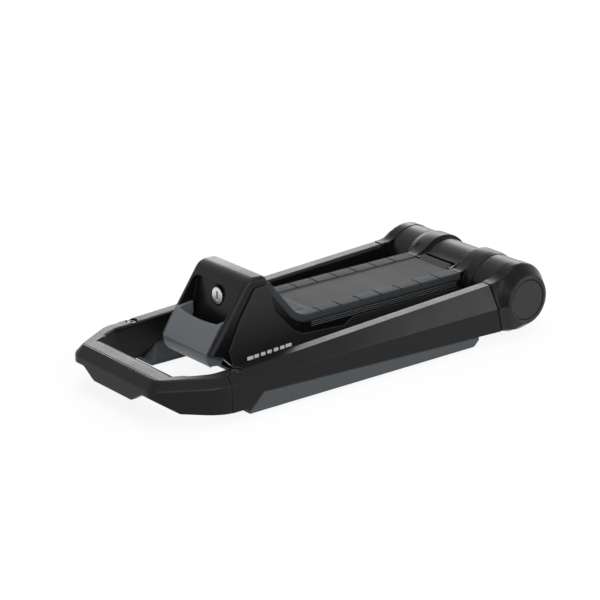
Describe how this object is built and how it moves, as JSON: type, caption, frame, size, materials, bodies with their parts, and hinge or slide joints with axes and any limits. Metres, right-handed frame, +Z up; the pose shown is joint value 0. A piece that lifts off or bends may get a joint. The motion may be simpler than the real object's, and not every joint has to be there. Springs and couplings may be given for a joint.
{
  "type": "kayak roof carrier",
  "caption": "Folding kayak cradle for a roof bar, lying flat: padded base with a clamp lever and lock in its raised toe, and a hinged padded arm with a handle.",
  "frame": {"origin": "bottom centre of the bounding box, on the rubber face that stands on the roof bar", "axes": "+X along the roof bar from the handle to the hinge, +Z up from the bar, +Y to the side called left"},
  "size_m": [0.404, 0.1738, 0.0943],
  "materials": {
    "black_plastic": "satin moulded black",
    "grey_plastic": "satin moulded grey",
    "boat_pad_rubber": "smooth soft grey",
    "base_pad_rubber": "fine grained soft grey",
    "saddle_rubber": "ribbed black",
    "steel": "zinc plated",
    "lock_metal": "satin nickel plated",
    "bush_plastic": "natural bearing plastic",
    "lining": "pressed friction lining"
  },
  "bodies": {
    "base": {"bar_saddle": "saddle_rubber", "base_chassis": "steel", "base_pad": "base_pad_rubber", "pad_tray": "black_plastic", "side_panel_left": "black_plastic", "side_panel_right": "black_plastic", "toe_hood": "black_plastic", "hinge_housing": "black_plastic", "hinge_bushes": "bush_plastic", "friction_linings": "lining", "housing_screws": "steel", "lever_pin": "steel", "lock_housing": "lock_metal", "nut_guide_front": "steel", "nut_guide_rear": "steel"},
    "arm": {"arm_frame": "black_plastic", "handle_cover": "black_plastic", "leg_core_left": "steel", "leg_core_right": "steel", "boat_pad_left": "boat_pad_rubber", "boat_pad_right": "boat_pad_rubber", "pad_carrier_left": "black_plastic", "pad_carrier_right": "black_plastic", "leg_screws": "steel", "knuckle_left": "black_plastic", "knuckle_right": "black_plastic", "end_cap_left": "black_plastic", "end_cap_right": "black_plastic", "hinge_shaft": "steel", "shaft_nuts": "steel", "hinge_sleeve_left": "black_plastic", "hinge_sleeve_right": "black_plastic", "pressure_plates": "steel", "disc_springs_left": "steel", "disc_springs_right": "steel"},
    "lever": {"clamp_lever": "grey_plastic", "crank_pin": "steel"},
    "rod": {"pull_rod": "steel", "draw_carriage": "steel", "rod_screw": "steel"},
    "nut_front": {"draw_nut_front": "steel"},
    "nut_rear": {"draw_nut_rear": "steel"},
    "lock": {"lock_plug": "lock_metal", "lock_cam": "steel", "cam_screw": "steel"}
  },
  "joints": [
    {"name": "arm_fold", "type": "hinge", "parent": "base", "child": "arm", "pos_m": [0.171, 0, 0.0335], "axis": [0, 1, 0], "range_deg": [0, 120]},
    {"name": "rod_pull", "type": "slide", "parent": "base", "child": "rod", "axis": [1, 0, 0], "range_m": [0, 0.01096]},
    {"name": "lever_open", "type": "hinge", "parent": "base", "child": "lever", "pos_m": [-0.114, 0, 0.038], "axis": [0, -1, 0], "range_deg": [0, 75]},
    {"name": "nut_front_drop", "type": "slide", "parent": "base", "child": "nut_front", "axis": [0, 0, -1], "range_m": [0, 0.003]},
    {"name": "nut_rear_drop", "type": "slide", "parent": "base", "child": "nut_rear", "axis": [0, 0, -1], "range_m": [0, 0.003]},
    {"name": "lock_turn", "type": "hinge", "parent": "base", "child": "lock", "pos_m": [-0.0964, 0, 0.0728], "axis": [-1, 0, 0], "range_deg": [0, 90]}
  ],
  "couplings": [
    {"joint": "lever_open", "follows": "rod_pull", "rad_per_m": 119.46},
    {"joint": "nut_front_drop", "follows": "rod_pull", "ratio": 0.27377},
    {"joint": "nut_rear_drop", "follows": "rod_pull", "ratio": 0.27377}
  ]
}
